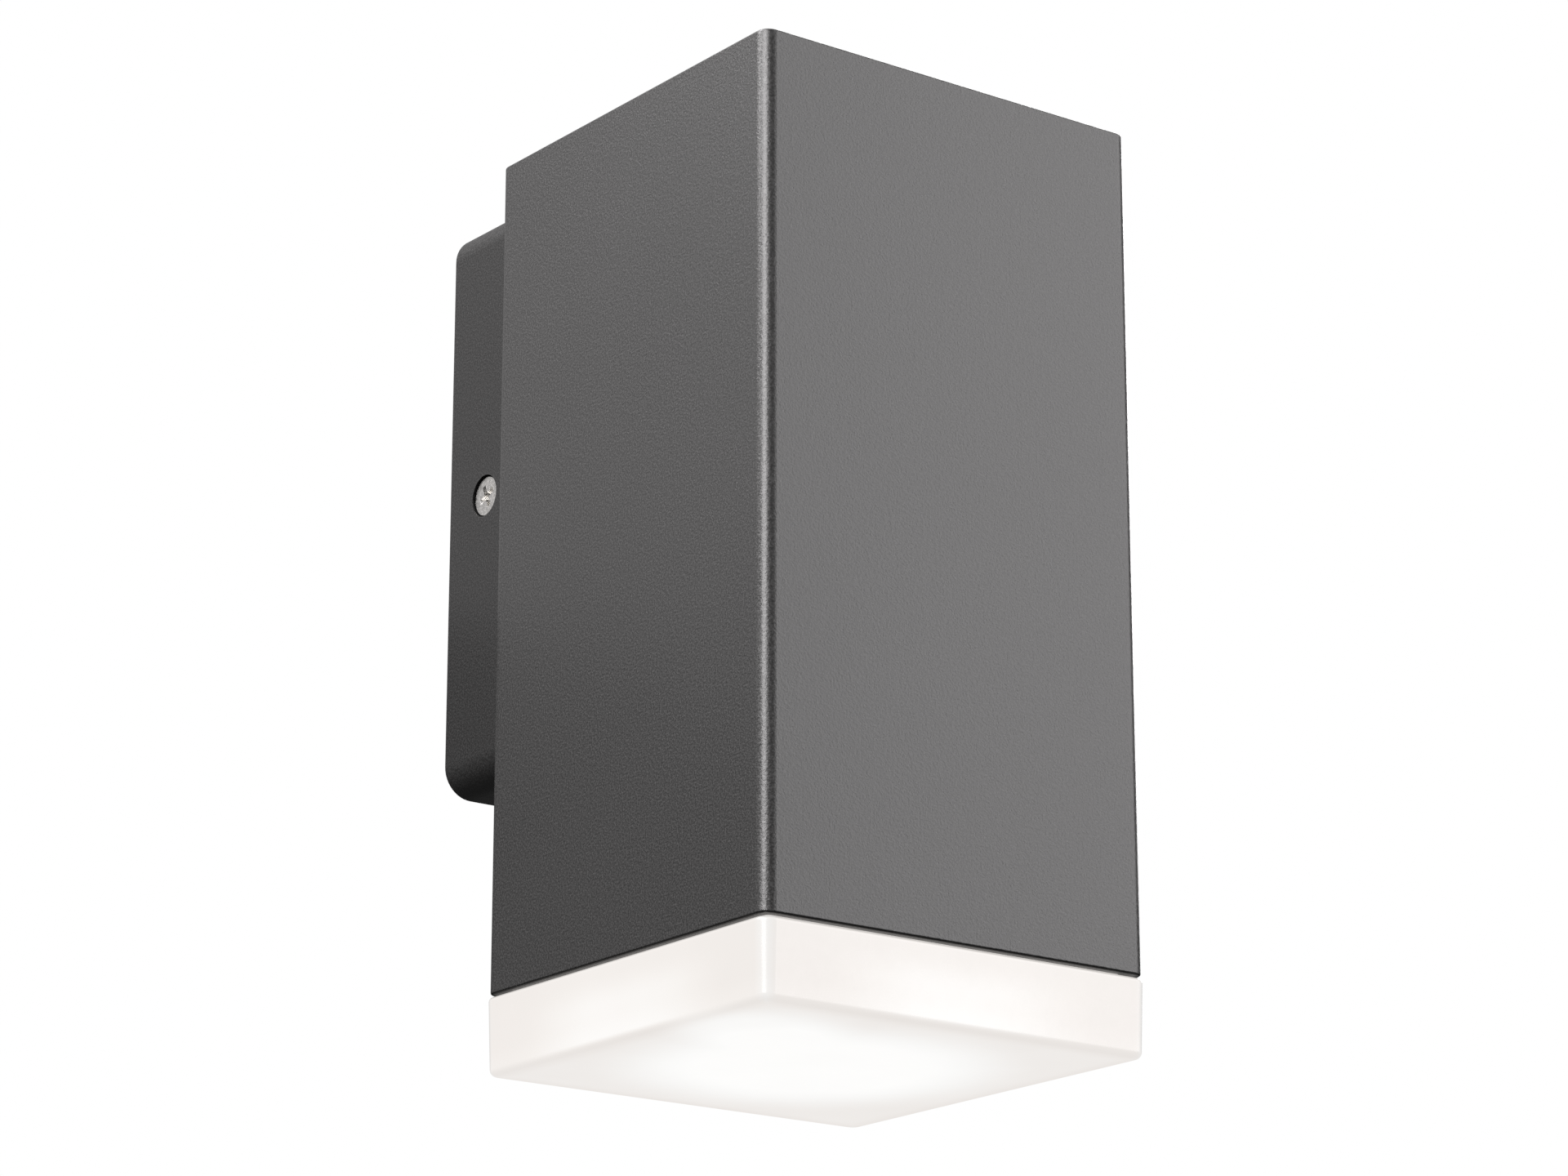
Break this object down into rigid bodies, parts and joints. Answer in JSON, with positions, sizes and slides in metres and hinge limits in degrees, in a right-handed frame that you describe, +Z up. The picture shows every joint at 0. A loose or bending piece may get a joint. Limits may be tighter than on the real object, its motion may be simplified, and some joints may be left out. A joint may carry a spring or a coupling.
{
  "type": "outdoor wall lantern",
  "caption": "Square tubular outdoor wall light on a shallow wall canopy, with an opal lit diffuser pushed into its lower end and a twist-lock reflector lamp inside.",
  "frame": {"origin": "on the wall plane, in the middle of the wall bracket, at the height of the side screws", "axes": "+Z up, +Y into the wall, so the lantern stands out along -Y; +X to the right for a person who faces the lantern"},
  "size_m": [0.0804, 0.1022, 0.1662],
  "materials": {
    "powder_coat": "matte",
    "zinc_steel": "satin",
    "stainless_screw": "satin",
    "black_rubber": "matte",
    "grey_foam": "matte",
    "clear_silicone": "satin",
    "terminal_plastic": "satin",
    "brass": "satin",
    "tinned_copper": "satin",
    "brown_insulation": "satin",
    "blue_insulation": "satin",
    "earth_insulation": "satin",
    "ceramic": "matte",
    "lamp_plastic": "satin",
    "lamp_shell_paint": "satin",
    "lamp_lens": "satin",
    "nickel_pin": "satin",
    "board_white": "satin",
    "led_phosphor": "satin",
    "driver_green": "satin",
    "opal": "satin"
  },
  "bodies": {
    "housing": {"housing_tube": "powder_coat", "top_cap": "powder_coat", "top_cap_seal": "black_rubber", "wall_canopy": "powder_coat", "housing_gasket": "black_rubber", "wall_gasket": "grey_foam", "wall_bracket": "zinc_steel", "cable_inlet_grommet": "black_rubber", "side_screws": "stainless_screw", "housing_screws": "zinc_steel", "housing_nuts": "zinc_steel", "wire_grommet": "black_rubber", "terminal_block": "terminal_plastic", "terminal_sleeves": "brass", "terminal_screws": "zinc_steel", "terminal_block_screws": "zinc_steel", "earth_lug": "tinned_copper", "earth_screw": "brass", "live_lead": "brown_insulation", "neutral_lead": "blue_insulation", "earth_lead": "earth_insulation", "lampholder_bracket": "zinc_steel", "lampholder_body": "ceramic", "lampholder_contacts": "nickel_pin", "lampholder_screws": "zinc_steel", "lampholder_nuts": "zinc_steel"},
    "lamp": {"lamp_base": "lamp_plastic", "lamp_shell": "lamp_shell_paint", "lamp_lens": "lamp_lens", "lamp_pins": "nickel_pin", "led_board": "board_white", "led_chips": "led_phosphor", "driver_board": "driver_green"},
    "diffuser": {"diffuser": "opal", "diffuser_gasket": "clear_silicone"}
  },
  "joints": [
    {"name": "diffuser_pull", "type": "slide", "parent": "housing", "child": "diffuser", "axis": [0, 0, -1], "range_m": [0, 0.025]},
    {"name": "lamp_twist", "type": "hinge", "parent": "housing", "child": "lamp", "pos_m": [0, -0.062, -0.036], "axis": [0, 0, -1], "range_deg": [0, 40]}
  ]
}
